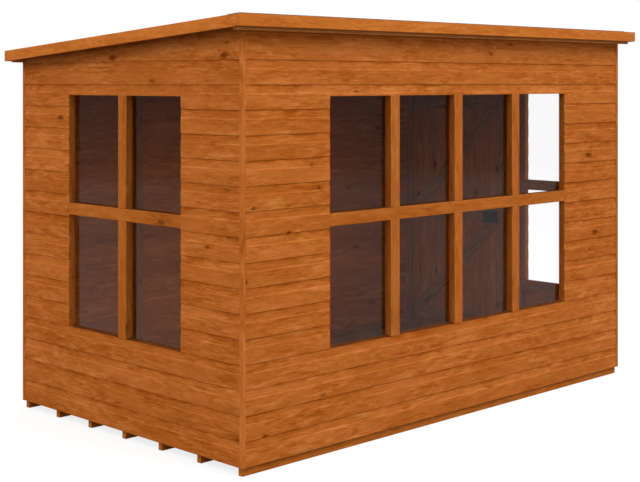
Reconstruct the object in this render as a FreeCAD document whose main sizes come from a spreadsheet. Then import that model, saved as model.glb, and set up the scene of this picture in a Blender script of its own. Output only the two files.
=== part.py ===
import FreeCAD, Part
import os
import re
import Sketcher

# Garden shed, 3.0 m by 1.8 m: a pent roof, four clad walls on studs, barred windows and a ledged door.
# Millimetres. +X runs along the front wall, +Y towards the back and +Z up.
# The origin is on the ground, under the middle of the shed.

SIZES = {
    # Walls, measured over the corner strips
    "wall_length": 3000,
    "wall_depth": 1790,
    "cladding_thick": 12,
    "cladding_bottom": 39,
    "strip_face": 20,
    "strip_proud": 2,
    # Studs and rails lie flat against the cladding
    "stud_face": 44,
    "stud_depth": 28,
    "back_stud_pitch": 750,
    # Floor
    "bearer_width": 28,
    "bearer_height": 44,
    "deck_thick": 12,
    # Pent roof, measured at the outer faces of the fascias
    "roof_front_height": 2050,
    "roof_fall": 133,
    "overhang_left": 72,
    "overhang_right": 85,
    "overhang_front": 65,
    "fascia_height": 56,
    "fascia_thick": 20,
    "roof_board_thick": 12,
    "felt_thick": 3,
    "batten_height": 52,
    "batten_width": 28,
    "purlin_height": 44,
    "purlin_width": 28,
    "purlin_spacing": 600,
    "lap_thick": 2,
    "lap_width": 83,
    "lap_short": 118,
    # Windows: panes, bars, linings, and the rebates that hold glass and beads
    "sill_height": 497,
    "pane_width": 426,
    "lower_pane_height": 571,
    "window_head_drop": 367,
    "mullion_width": 65,
    "rail_height": 62,
    "lining_face": 20,
    "glass_inset": 31,
    "glass_thick": 3,
    "glass_play": 1,
    "rebate_width": 8,
    "right_window_inset": 233,
    "right_window_to_doorway": 201,
    # Doorway in the right wall and its ledged door
    "doorway_back_inset": 170,
    "doorway_width": 760,
    "over_door_height": 270,
    "door_lap": 15,
    "door_gap": 5,
    "door_board_thick": 12,
    "ledge_height": 95,
    "ledge_thick": 20,
    "ledge_gap": 12,
    "top_ledge_drop": 115,
    "middle_ledge_height": 833,
    "bottom_ledge_height": 130,
    "brace_foot": 100,
    # T hinges
    "knuckle_radius": 5,
    "pin_radius": 2.5,
    "pin_play": 0.1,
    "knuckle_gap": 0.5,
    "hinge_plate_height": 110,
    "hinge_plate_width": 36,
    "hinge_thick": 2.5,
    "strap_root_height": 44,
    "strap_tip_height": 24,
    "strap_length": 340,
    "strap_shoulder": 30,
    # Lock and handle
    "lock_inset": 23,
    "lock_width": 110,
    "lock_height": 78,
    "lock_thick": 16,
    "lock_rise": 39,
    "keep_thick": 2,
    "keep_margin": 7,
    "handle_height": 160,
    "handle_reach": 42,
    "handle_radius": 6,
    "handle_inset": 80,
    "handle_rise": 68,
    "handle_bend": 14,
    "handle_plate_width": 44,
    "handle_plate_thick": 3,
    "keyhole_radius": 4,
}
BEARERS = 7
FRONT_COLUMNS = 4
LEFT_COLUMNS = 2
RIGHT_COLUMNS = 1
WORD = re.compile(r"[a-z][a-z_]*")
UP = FreeCAD.Vector(0, 0, 1)

doc = FreeCAD.newDocument("garden_shed")
sheet = doc.addObject("Spreadsheet::Sheet", "sizes")
for row, (alias, size) in enumerate(SIZES.items(), start=1):
    sheet.set(f"A{row}", alias)
    sheet.set(f"B{row}", str(size))
    sheet.setAlias(f"B{row}", alias)
doc.recompute()

nodes = []


def bound(text):
    """The same sum, with each size in it read from the sheet."""
    return WORD.sub(lambda word: "sizes." + word[0] if word[0] in SIZES else word[0], text)


def number(text):
    """What a sum comes to now, for the first place of a sketch's points."""
    return float(sheet.evalExpression(bound(text)))


def bind(item, **sums):
    for name, text in sums.items():
        item.setExpression(name, bound(text))


def place(item, x="0", y="0", z="0", turn=0):
    """Put an item at x, y, z, turned by so many degrees about the vertical."""
    item.Placement = FreeCAD.Placement(FreeCAD.Vector(), FreeCAD.Rotation(UP, turn))
    for axis, text in zip("xyz", (x, y, z)):
        item.setExpression(f"Placement.Base.{axis}", bound(text))


def label(item, name):
    """Make an item a sub-part, which is written under this name."""
    item.Label = name
    nodes.append(item)
    return item


def span(low, high):
    """The length from one sum to another."""
    return f"({high}) - ({low})"


def block(name, x, y, z):
    """A squared timber or sheet between three pairs of sums."""
    box = doc.addObject("Part::Box", name)
    bind(box, Length=span(*x), Width=span(*y), Height=span(*z))
    place(box, x[0], y[0], z[0])
    return box


def group(name, items):
    """Like pieces that don't touch, as one sub-part."""
    compound = doc.addObject("Part::Compound", name)
    compound.Links = items
    return compound


def cut(name, base, tool):
    result = doc.addObject("Part::Cut", name)
    result.Base = base
    result.Tool = tool
    return result


def fuse(name, items):
    result = doc.addObject("Part::MultiFuse", name)
    result.Shapes = items
    result.Refine = True
    return result


def origin_plane(body, role):
    return next(item for item in body.Origin.OriginFeatures if item.Role == role)


def outline(sketch, points):
    """A closed outline through pairs of sums, each held by its distances from the origin."""
    corners = [FreeCAD.Vector(number(across), number(up), 0) for across, up in points]
    first = sketch.GeometryCount
    for corner, following in zip(corners, corners[1:] + corners[:1]):
        sketch.addGeometry(Part.LineSegment(corner, following), False)
    for index, sums in enumerate(points):
        edge = first + index
        before = first + (index - 1) % len(points)
        sketch.addConstraint(Sketcher.Constraint("Coincident", before, 2, edge, 1))
        for kind, text in zip(("DistanceX", "DistanceY"), sums):
            held = sketch.addConstraint(Sketcher.Constraint(kind, -1, 1, edge, 1, number(text)))
            sketch.setExpression(f"Constraints[{held}]", bound(text))


def prism(name, role, points, length):
    """An outline on one of a body's own origin planes, padded to a length."""
    body = doc.addObject("PartDesign::Body", name)
    sketch = body.newObject("Sketcher::SketchObject", name + "_outline")
    sketch.AttachmentSupport = [(origin_plane(body, role), "")]
    sketch.MapMode = "FlatFace"
    outline(sketch, points)
    pad = body.newObject("PartDesign::Pad", name + "_pad")
    pad.Profile = sketch
    bind(pad, Length=length)
    return body


def prism_along_x(name, points, x):
    """A section in Y and Z, run between two places along the wall."""
    body = prism(name, "YZ_Plane", points, span(*x))
    place(body, x[0])
    return body


# Places that several pieces share, as sums of the sizes
CLAD_X = "(wall_length / 2 - strip_proud)"
CLAD_Y = "(wall_depth / 2 - strip_proud)"
FRAME_X = f"({CLAD_X} - cladding_thick)"
FRAME_Y = f"({CLAD_Y} - cladding_thick)"
INSIDE_X = f"({FRAME_X} - stud_depth)"
INSIDE_Y = f"({FRAME_Y} - stud_depth)"
CLAD_END_X = "(wall_length / 2 - strip_face)"
CLAD_END_Y = "(wall_depth / 2 - strip_face)"
DECK_TOP = "(bearer_height + deck_thick)"
ROOF_LEFT = "(-(wall_length / 2 + overhang_left))"
ROOF_RIGHT = "(wall_length / 2 + overhang_right)"
ROOF_Y = "(wall_depth / 2 + overhang_front)"
ROOF_INSIDE_LEFT = f"({ROOF_LEFT} + fascia_thick)"
ROOF_INSIDE_RIGHT = f"({ROOF_RIGHT} - fascia_thick)"
ROOF_INSIDE_Y = f"({ROOF_Y} - fascia_thick)"
FALL = f"(roof_fall / (2 * {ROOF_Y}))"
UNDER_FELT = "felt_thick"
UNDER_ROOF = "felt_thick + roof_board_thick"
WINDOW_HEIGHT = "(roof_front_height - window_head_drop - sill_height)"
UPPER_PANE_HEIGHT = f"({WINDOW_HEIGHT} - lower_pane_height - rail_height)"
WALL_THICK = "(cladding_thick + stud_depth)"
WINDOW_BOTTOM = "(sill_height - lining_face)"
WINDOW_TOP = f"(sill_height + {WINDOW_HEIGHT} + lining_face)"
ABOVE_ALL = "(roof_front_height + 100)"


def roof_z(y, below="0"):
    """Height of the plane so far below the tops of the fascias, at a place from front to back."""
    return f"(roof_front_height - {FALL} * ({y} + {ROOF_Y}) - ({below}))"


def minus(text):
    return f"(-({text}))"


# Everything above the underside of the roof boards, to trim walls and corner strips to the pitch
over_roof = prism_along_x(
    "over_roof",
    [
        (minus(ROOF_Y), roof_z(minus(ROOF_Y), UNDER_ROOF)),
        (ROOF_Y, roof_z(ROOF_Y, UNDER_ROOF)),
        (ROOF_Y, ABOVE_ALL),
        (minus(ROOF_Y), ABOVE_ALL),
    ],
    (ROOF_LEFT, ROOF_RIGHT),
)


def trimmed(name, item):
    return cut(name, item, over_roof)


# Floor: bearers along the shed, with the deck on them
def floor():
    pitch = f"((2 * {FRAME_Y} - bearer_width) / {BEARERS - 1})"
    bearers = []
    for index in range(BEARERS):
        near = f"({index} * {pitch} - {FRAME_Y})"
        bearers.append(
            block(
                f"bearer_{index}",
                (minus(FRAME_X), FRAME_X),
                (near, near + " + bearer_width"),
                ("0", "bearer_height"),
            )
        )
    label(group("bearers", bearers), "floor_bearers")
    deck = block(
        "deck",
        (minus(FRAME_X), FRAME_X),
        (minus(FRAME_Y), FRAME_Y),
        ("bearer_height", DECK_TOP),
    )
    label(deck, "floor_deck")


def window_width(columns, pane="pane_width"):
    return f"({columns} * {pane} + {columns - 1} * mullion_width)"


def lining_half(columns):
    """Half the width of a window over its lining."""
    return f"({window_width(columns)} / 2 + lining_face)"


DOORWAY_FAR = "(wall_depth / 2 - doorway_back_inset)"
DOORWAY_NEAR = f"({DOORWAY_FAR} - doorway_width)"
DOORWAY_HEAD = "(roof_front_height - over_door_height)"
DOOR_NEAR = f"({DOORWAY_NEAR} - door_lap)"
DOOR_FAR = f"({DOORWAY_FAR} + door_lap)"
DOOR_TOP = f"({DOORWAY_HEAD} + door_lap)"
# The window beside the door fills what the corner and the doorway leave
RIGHT_PANE_NEAR = "(right_window_inset - wall_depth / 2)"
RIGHT_PANE_FAR = f"({DOORWAY_NEAR} - right_window_to_doorway)"
RIGHT_PANE_WIDTH = f"({RIGHT_PANE_FAR} - {RIGHT_PANE_NEAR})"
RIGHT_WINDOW_NEAR = f"({RIGHT_PANE_NEAR} - lining_face)"
RIGHT_WINDOW_FAR = f"({RIGHT_PANE_FAR} + lining_face)"
FULL_HEIGHT = ("cladding_bottom", ABOVE_ALL)


# Cladding: one sheet of boards a wall, cut round its window and trimmed to the roof
def cladding():
    half = lining_half(FRONT_COLUMNS)
    window_levels = (WINDOW_BOTTOM, WINDOW_TOP)
    front_depth = (minus(CLAD_Y), minus(FRAME_Y))
    front = block("front_boards", (minus(CLAD_END_X), CLAD_END_X), front_depth, FULL_HEIGHT)
    front_hole = block("front_hole", (minus(half), half), front_depth, window_levels)
    label(cut("front_wall", trimmed("front_trimmed", front), front_hole), "front_cladding")

    back = block("back_boards", (minus(CLAD_END_X), CLAD_END_X), (FRAME_Y, CLAD_Y), FULL_HEIGHT)
    label(trimmed("back_wall", back), "back_cladding")

    half = lining_half(LEFT_COLUMNS)
    left_depth = (minus(CLAD_X), minus(FRAME_X))
    left = block("left_boards", left_depth, (minus(CLAD_END_Y), CLAD_END_Y), FULL_HEIGHT)
    left_hole = block("left_hole", left_depth, (minus(half), half), window_levels)
    label(cut("left_wall", trimmed("left_trimmed", left), left_hole), "left_cladding")

    right_depth = (FRAME_X, CLAD_X)
    near_edge = DOOR_NEAR + " - door_gap"
    far_edge = DOOR_FAR + " + door_gap"
    near = block("right_near_boards", right_depth, (minus(CLAD_END_Y), near_edge), FULL_HEIGHT)
    hole = block("right_hole", right_depth, (RIGHT_WINDOW_NEAR, RIGHT_WINDOW_FAR), window_levels)
    label(cut("right_near_wall", trimmed("right_near_trimmed", near), hole), "right_cladding_front")
    far = block("right_far_boards", right_depth, (far_edge, CLAD_END_Y), FULL_HEIGHT)
    label(trimmed("right_far_wall", far), "right_cladding_back")
    over = block(
        "right_over_boards",
        right_depth,
        (near_edge, far_edge),
        (DOOR_TOP + " + door_gap", ABOVE_ALL),
    )
    label(trimmed("right_over_wall", over), "right_cladding_over_door")


# Corner strips: an L section that closes the ends of the boards on both walls
def corner_strips():
    thick = "(strip_proud + cladding_thick)"
    section = [
        ("0", "0"),
        ("strip_face", "0"),
        ("strip_face", thick),
        (thick, thick),
        (thick, "strip_face"),
        ("0", "strip_face"),
    ]
    corners = (
        ("front_left", minus("wall_length / 2"), minus("wall_depth / 2"), 0),
        ("front_right", "wall_length / 2", minus("wall_depth / 2"), 90),
        ("back_right", "wall_length / 2", "wall_depth / 2", 180),
        ("back_left", minus("wall_length / 2"), "wall_depth / 2", 270),
    )
    strips = []
    for name, x, y, turn in corners:
        strip = prism(name + "_strip", "XY_Plane", section, span("cladding_bottom", ABOVE_ALL))
        place(strip, x, y, "cladding_bottom", turn)
        strips.append(strip)
    label(trimmed("strips_trimmed", group("strips", strips)), "corner_strips")


def sloped_rail(name, y, x):
    """A rail along X whose top lies under the roof boards and whose underside is level."""
    low = f"({roof_z(y[1], UNDER_ROOF)} - stud_face)"
    points = [
        (y[0], low),
        (y[1], low),
        (y[1], roof_z(y[1], UNDER_ROOF)),
        (y[0], roof_z(y[0], UNDER_ROOF)),
    ]
    return prism_along_x(name, points, x)


def pitched_rail(name, x):
    """A rail from front to back that follows the pitch of the roof, between the long walls."""
    near, far = minus(INSIDE_Y), INSIDE_Y
    below = UNDER_ROOF + " + stud_face"
    points = [
        (near, roof_z(near, below)),
        (far, roof_z(far, below)),
        (far, roof_z(far, UNDER_ROOF)),
        (near, roof_z(near, UNDER_ROOF)),
    ]
    return prism_along_x(name, points, x)


BOTTOM_RAIL = (DECK_TOP, DECK_TOP + " + stud_face")
STUD_FOOT = DECK_TOP + " + stud_face"
SILL_RAIL = (WINDOW_BOTTOM + " - stud_face", WINDOW_BOTTOM)
HEAD_RAIL = (WINDOW_TOP, WINDOW_TOP + " + stud_face")


def pair(low):
    """A stud's two faces, from its lower one."""
    return (low, f"({low}) + stud_face")


# Frames of the long walls: rails at the floor, roof and window, and studs between them
def front_frame():
    depth = (minus(FRAME_Y), minus(INSIDE_Y))
    long = (minus(FRAME_X), FRAME_X)
    half = lining_half(FRONT_COLUMNS)
    rails = [
        block("front_bottom_rail", long, depth, BOTTOM_RAIL),
        sloped_rail("front_top_rail", depth, long),
        block("front_sill_rail", (minus(half), half), depth, SILL_RAIL),
        block("front_head_rail", (minus(half), half), depth, HEAD_RAIL),
    ]
    label(group("front_rail_group", rails), "front_rails")
    top = f"{roof_z(minus(INSIDE_Y), UNDER_ROOF)} - stud_face"
    outer = (minus(FRAME_X), minus(half) + " - stud_face", half, FRAME_X + " - stud_face")
    studs = []
    for index, low in enumerate(outer):
        studs.append(block(f"front_stud_{index}", pair(low), depth, (STUD_FOOT, top)))
    for index in range(1, FRONT_COLUMNS):
        middle = f"({index} * (pane_width + mullion_width) - mullion_width / 2)"
        low = f"({middle} - {window_width(FRONT_COLUMNS)} / 2 - stud_face / 2)"
        studs.append(
            block(f"front_short_stud_{index}", pair(low), depth, (STUD_FOOT, SILL_RAIL[0]))
        )
    label(group("front_stud_group", studs), "front_studs")


def back_frame():
    depth = (INSIDE_Y, FRAME_Y)
    long = (minus(FRAME_X), FRAME_X)
    rails = [
        block("back_bottom_rail", long, depth, BOTTOM_RAIL),
        sloped_rail("back_top_rail", depth, long),
    ]
    label(group("back_rail_group", rails), "back_rails")
    top = f"{roof_z(FRAME_Y, UNDER_ROOF)} - stud_face"
    lows = [minus(FRAME_X), FRAME_X + " - stud_face"]
    for step in (-1, 0, 1):
        lows.append(f"({step} * back_stud_pitch - stud_face / 2)")
    studs = []
    for index, low in enumerate(lows):
        studs.append(block(f"back_stud_{index}", pair(low), depth, (STUD_FOOT, top)))
    label(group("back_stud_group", studs), "back_studs")


def end_studs(name, x, lows):
    """Studs of an end wall, their heads cut to the pitched rail."""
    below = UNDER_ROOF + " + stud_face"
    studs = []
    for index, low in enumerate(lows):
        near, far = pair(low)
        points = [
            (near, STUD_FOOT),
            (far, STUD_FOOT),
            (far, roof_z(far, below)),
            (near, roof_z(near, below)),
        ]
        studs.append(prism_along_x(f"{name}_stud_{index}", points, x))
    return studs


# Frames of the end walls, which stand between the long ones
def left_frame():
    x = (minus(FRAME_X), minus(INSIDE_X))
    half = lining_half(LEFT_COLUMNS)
    rails = [
        block("left_bottom_rail", x, (minus(INSIDE_Y), INSIDE_Y), BOTTOM_RAIL),
        pitched_rail("left_top_rail", x),
        block("left_sill_rail", x, (minus(half), half), SILL_RAIL),
        block("left_head_rail", x, (minus(half), half), HEAD_RAIL),
    ]
    label(group("left_rail_group", rails), "left_rails")
    lows = (minus(INSIDE_Y), minus(half) + " - stud_face", half, INSIDE_Y + " - stud_face")
    studs = end_studs("left", x, lows)
    short = block("left_short_stud", x, pair("-stud_face / 2"), (STUD_FOOT, SILL_RAIL[0]))
    label(group("left_stud_group", studs + [short]), "left_studs")


def right_frame():
    x = (INSIDE_X, FRAME_X)
    window = (RIGHT_WINDOW_NEAR, RIGHT_WINDOW_FAR)
    rails = [
        block("right_bottom_rail_front", x, (minus(INSIDE_Y), DOORWAY_NEAR), BOTTOM_RAIL),
        block("right_bottom_rail_back", x, (DOORWAY_FAR, INSIDE_Y), BOTTOM_RAIL),
        pitched_rail("right_top_rail", x),
        block("right_sill_rail", x, window, SILL_RAIL),
        block("right_head_rail", x, window, HEAD_RAIL),
        block(
            "door_head_rail",
            x,
            (DOORWAY_NEAR, DOORWAY_FAR),
            (DOORWAY_HEAD, DOORWAY_HEAD + " + stud_face"),
        ),
    ]
    label(group("right_rail_group", rails), "right_rails")
    lows = (
        minus(INSIDE_Y),
        RIGHT_WINDOW_NEAR + " - stud_face",
        RIGHT_WINDOW_FAR,
        DOORWAY_NEAR + " - stud_face",
        DOORWAY_FAR,
    )
    label(group("right_stud_group", end_studs("right", x, lows)), "right_studs")


# Roof: boards and felt between four fascias, on purlins inside and battens outside the walls
def roof():
    inside = (ROOF_INSIDE_LEFT, ROOF_INSIDE_RIGHT)
    near, far = minus(ROOF_INSIDE_Y), ROOF_INSIDE_Y
    boards = [
        (near, roof_z(near, UNDER_ROOF)),
        (far, roof_z(far, UNDER_ROOF)),
        (far, roof_z(far, UNDER_FELT)),
        (near, roof_z(near, UNDER_FELT)),
    ]
    label(prism_along_x("boards", boards, inside), "roof_deck")

    sheet_felt = [
        (near, roof_z(near, UNDER_FELT)),
        (far, roof_z(far, UNDER_FELT)),
        (far, roof_z(far)),
        (near, roof_z(near)),
    ]
    lap_near = minus(ROOF_Y)
    lap_far = f"({lap_near} + lap_width)"
    lap = [
        (lap_near, roof_z(lap_near)),
        (lap_far, roof_z(lap_far)),
        (lap_far, roof_z(lap_far, "-lap_thick")),
        (lap_near, roof_z(lap_near, "-lap_thick")),
    ]
    felt_pieces = [
        prism_along_x("felt_sheet", sheet_felt, inside),
        prism_along_x("felt_lap", lap, (ROOF_LEFT, f"({ROOF_RIGHT} - lap_short)")),
    ]
    label(fuse("felt", felt_pieces), "roof_felt")

    outer_near = minus(ROOF_Y)
    front_low = "roof_front_height - fascia_height"
    front = [
        (outer_near, front_low),
        (near, front_low),
        (near, roof_z(near)),
        (outer_near, roof_z(outer_near)),
    ]
    along = (ROOF_LEFT, ROOF_INSIDE_RIGHT)
    label(prism_along_x("fascia_a", front, along), "front_fascia")
    back_low = "roof_front_height - roof_fall - fascia_height"
    back = [
        (far, back_low),
        (ROOF_Y, back_low),
        (ROOF_Y, roof_z(ROOF_Y)),
        (far, roof_z(far)),
    ]
    label(prism_along_x("fascia_b", back, along), "back_fascia")
    sides = []
    ends = (
        ("left", (near, far), (ROOF_LEFT, ROOF_INSIDE_LEFT)),
        ("right", (outer_near, ROOF_Y), (ROOF_INSIDE_RIGHT, ROOF_RIGHT)),
    )
    for name, (start, end), x in ends:
        points = [
            (start, roof_z(start, "fascia_height")),
            (end, roof_z(end, "fascia_height")),
            (end, roof_z(end)),
            (start, roof_z(start)),
        ]
        sides.append(prism_along_x(name + "_verge", points, x))
    label(group("verges", sides), "side_fascias")

    battens = []
    wall = "(wall_depth / 2)"
    eaves = (
        ("front", f"(-{wall} - batten_width)", minus(wall), minus(wall)),
        ("back", wall, f"({wall} + batten_width)", wall),
    )
    for name, start, end, face in eaves:
        low = f"({roof_z(face, UNDER_ROOF)} - batten_height)"
        points = [
            (start, low),
            (end, low),
            (end, roof_z(end, UNDER_ROOF)),
            (start, roof_z(start, UNDER_ROOF)),
        ]
        battens.append(prism_along_x(name + "_batten", points, inside))
    for name, side in (("front", -1), ("back", 1)):
        start = f"({side} * purlin_spacing / 2 - purlin_width / 2)"
        end = f"({start} + purlin_width)"
        below = UNDER_ROOF + " + purlin_height"
        points = [
            (start, roof_z(start, below)),
            (end, roof_z(end, below)),
            (end, roof_z(end, UNDER_ROOF)),
            (start, roof_z(start, UNDER_ROOF)),
        ]
        battens.append(prism_along_x(name + "_purlin", points, (minus(INSIDE_X), INSIDE_X)))
    label(group("battens", battens), "roof_battens")


def over_pane(name, across, up, wider, depth):
    """A block over one pane's daylight, made wider all round by a sum."""
    (left, width), (low, height) = across, up
    return block(
        name,
        (f"{left} - {wider}", f"{left} + {width} + {wider}"),
        depth,
        (f"{low} - {wider}", f"{low} + {height} + {wider}"),
    )


# Windows: a lining, and mullions halved over a middle rail. All are rebated from the inside, so the panes sit
# behind a lip of the bars, with a ring of beads behind each pane that ends flush with the bars.
# Each window is drawn with X along its wall, Y into the wall and Z up, from the corner of its lining.
def window(wall, columns, pane, x, y, turn):
    width = window_width(columns, pane)
    daylight_x = ("lining_face", f"lining_face + {width}")
    daylight_z = ("lining_face", f"lining_face + {WINDOW_HEIGHT}")
    depth = ("0", WALL_THICK)
    glass_back = "glass_inset + glass_thick"
    rail_low = "(lining_face + lower_pane_height)"
    rail_levels = (rail_low, rail_low + " + rail_height")
    rows = (
        ("lower", "lining_face", "lower_pane_height"),
        ("upper", f"({rail_low} + rail_height)", UPPER_PANE_HEIGHT),
    )

    def finish(item, piece):
        place(item, x, y, WINDOW_BOTTOM, turn)
        label(item, f"{wall}_window_{piece}")

    rebates = []
    panes = []
    beads = []
    glass_reach = "(rebate_width - glass_play)"
    for column in range(columns):
        left = f"(lining_face + {column} * ({pane} + mullion_width))"
        for row_name, low, height in rows:
            name = f"{wall}_{row_name}_{column}"
            seat = (left, pane), (low, height)
            behind = (glass_back, WALL_THICK)
            rebates.append(
                over_pane(name + "_rebate", *seat, "rebate_width", ("glass_inset", WALL_THICK))
            )
            panes.append(over_pane(name + "_pane", *seat, glass_reach, ("glass_inset", glass_back)))
            blank = over_pane(name + "_bead_blank", *seat, "rebate_width", behind)
            hole = over_pane(name + "_bead_hole", *seat, "0", behind)
            beads.append(cut(name + "_bead", blank, hole))
    rebate = group(f"{wall}_rebates", rebates)

    outside = block(
        f"{wall}_lining_outside",
        ("0", f"{width} + 2 * lining_face"),
        depth,
        ("0", f"{WINDOW_HEIGHT} + 2 * lining_face"),
    )
    daylight = block(f"{wall}_daylight", daylight_x, depth, daylight_z)
    lining = cut(f"{wall}_lining", outside, daylight)
    finish(cut(f"{wall}_rebated_lining", lining, rebate), "lining")

    front_half = ("0", f"{WALL_THICK} / 2")
    back_half = (f"{WALL_THICK} / 2", WALL_THICK)
    rail = block(f"{wall}_rail_blank", daylight_x, depth, rail_levels)
    mullions = []
    for index in range(1, columns):
        low = f"(lining_face + {index} * {pane} + {index - 1} * mullion_width)"
        across = (low, low + " + mullion_width")
        mullion = block(f"{wall}_mullion_blank_{index}", across, depth, daylight_z)
        notch = block(f"{wall}_mullion_notch_{index}", across, front_half, rail_levels)
        halved = cut(f"{wall}_mullion_{index}", mullion, notch)
        mullions.append(cut(f"{wall}_rebated_mullion_{index}", halved, rebate))
        notch = block(f"{wall}_rail_notch_{index}", across, back_half, rail_levels)
        rail = cut(f"{wall}_rail_{index}", rail, notch)
    if mullions:
        finish(group(f"{wall}_mullion_group", mullions), "mullions")
    rebated_rail = cut(f"{wall}_rebated_rail", rail, rebate)
    finish(group(f"{wall}_rail_group", [rebated_rail]), "rail")
    finish(group(f"{wall}_pane_group", panes), "glass")
    finish(group(f"{wall}_bead_group", beads), "beads")


DOOR_BACK = f"({FRAME_X} + door_gap)"
DOOR_FACE = f"({DOOR_BACK} + door_board_thick)"
LEDGE_BACK = f"({DOOR_BACK} - ledge_thick)"
LEDGE_NEAR = f"({DOORWAY_NEAR} + ledge_gap)"
LEDGE_FAR = f"({DOORWAY_FAR} - ledge_gap)"
LEDGES = {
    "top": f"({DOORWAY_HEAD} - top_ledge_drop - ledge_height)",
    "middle": "middle_ledge_height",
    "bottom": "bottom_ledge_height",
}
LOCK_LEVEL = "(middle_ledge_height + lock_rise)"


# Ledged and braced door: boards outside, three ledges inside and braces that rise from the hinges
def door():
    height = ("cladding_bottom", DOOR_TOP)
    boards = block("door_sheet", (DOOR_BACK, DOOR_FACE), (DOOR_NEAR, DOOR_FAR), height)
    label(boards, "door_boards")
    depth = (LEDGE_BACK, DOOR_BACK)
    ledges = []
    for name, level in LEDGES.items():
        height = (level, level + " + ledge_height")
        ledges.append(block(name + "_ledge", depth, (LEDGE_NEAR, LEDGE_FAR), height))
    label(group("ledge_group", ledges), "door_ledges")
    braces = []
    levels = list(LEDGES.values())
    for upper, lower in zip(levels, levels[1:]):
        foot = lower + " + ledge_height"
        points = [
            (LEDGE_FAR + " - brace_foot", foot),
            (LEDGE_FAR, foot),
            (LEDGE_NEAR + " + brace_foot", upper),
            (LEDGE_NEAR, upper),
        ]
        braces.append(prism_along_x("brace", points, depth))
    label(group("brace_group", braces), "door_braces")


def rod(name, radius, height, x, y, z):
    """An upright round bar."""
    bar = doc.addObject("Part::Cylinder", name)
    bind(bar, Radius=radius, Height=height)
    place(bar, x, y, z)
    return bar


# T hinges: a strap along each ledge, and a plate on the boards beside the door that holds the pin
def hinges():
    axis_x = f"({DOOR_FACE} + knuckle_radius)"
    axis_y = f"({DOOR_FAR} + door_gap / 2)"
    straps = []
    plates = []
    for end, level in LEDGES.items():
        name = end + "_hinge"
        middle = f"({level} + ledge_height / 2)"
        root = "strap_root_height / 2"
        tip = "strap_tip_height / 2"
        points = [
            (axis_y, f"{middle} - {root}"),
            (axis_y, f"{middle} + {root}"),
            (f"{axis_y} - strap_shoulder", f"{middle} + {root}"),
            (f"{axis_y} - strap_length + {tip}", f"{middle} + {tip}"),
            (f"{axis_y} - strap_length", f"{middle} + {tip} / 2"),
            (f"{axis_y} - strap_length", f"{middle} - {tip} / 2"),
            (f"{axis_y} - strap_length + {tip}", f"{middle} - {tip}"),
            (f"{axis_y} - strap_shoulder", f"{middle} - {root}"),
        ]
        leaf = prism_along_x(name + "_leaf", points, (DOOR_FACE, DOOR_FACE + " + hinge_thick"))
        low = f"{middle} - {root}"
        knuckle = rod(name + "_knuckle", "knuckle_radius", "strap_root_height", axis_x, axis_y, low)
        bore = rod(
            name + "_bore", "pin_radius + pin_play", "strap_root_height", axis_x, axis_y, low
        )
        straps.append(cut(name + "_strap", fuse(name + "_blank", [leaf, knuckle]), bore))

        low = f"({middle} - hinge_plate_height / 2)"
        high = f"({middle} + hinge_plate_height / 2)"
        edge = f"({axis_y} + knuckle_radius / 2)"
        pieces = [
            block(
                name + "_plate",
                (CLAD_X, CLAD_X + " + hinge_thick"),
                (edge, f"{axis_y} + hinge_plate_width"),
                (low, high),
            ),
            rod(name + "_pin", "pin_radius", span(low, high), axis_x, axis_y, low),
        ]
        ends = (
            ("lower", low, f"({middle} - {root} - knuckle_gap)"),
            ("upper", f"({middle} + {root} + knuckle_gap)", high),
        )
        for part, start, end in ends:
            web_y = (edge, f"{axis_y} + knuckle_radius")
            pieces.append(block(f"{name}_{part}_web", (CLAD_X, axis_x), web_y, (start, end)))
            pieces.append(
                rod(f"{name}_{part}_knuckle", "knuckle_radius", span(start, end), axis_x, axis_y, start)
            )
        plates.append(fuse(name + "_fixed", pieces))
    label(group("strap_group", straps), "door_hinge_straps")
    label(group("plate_group", plates), "door_hinge_plates")


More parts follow.
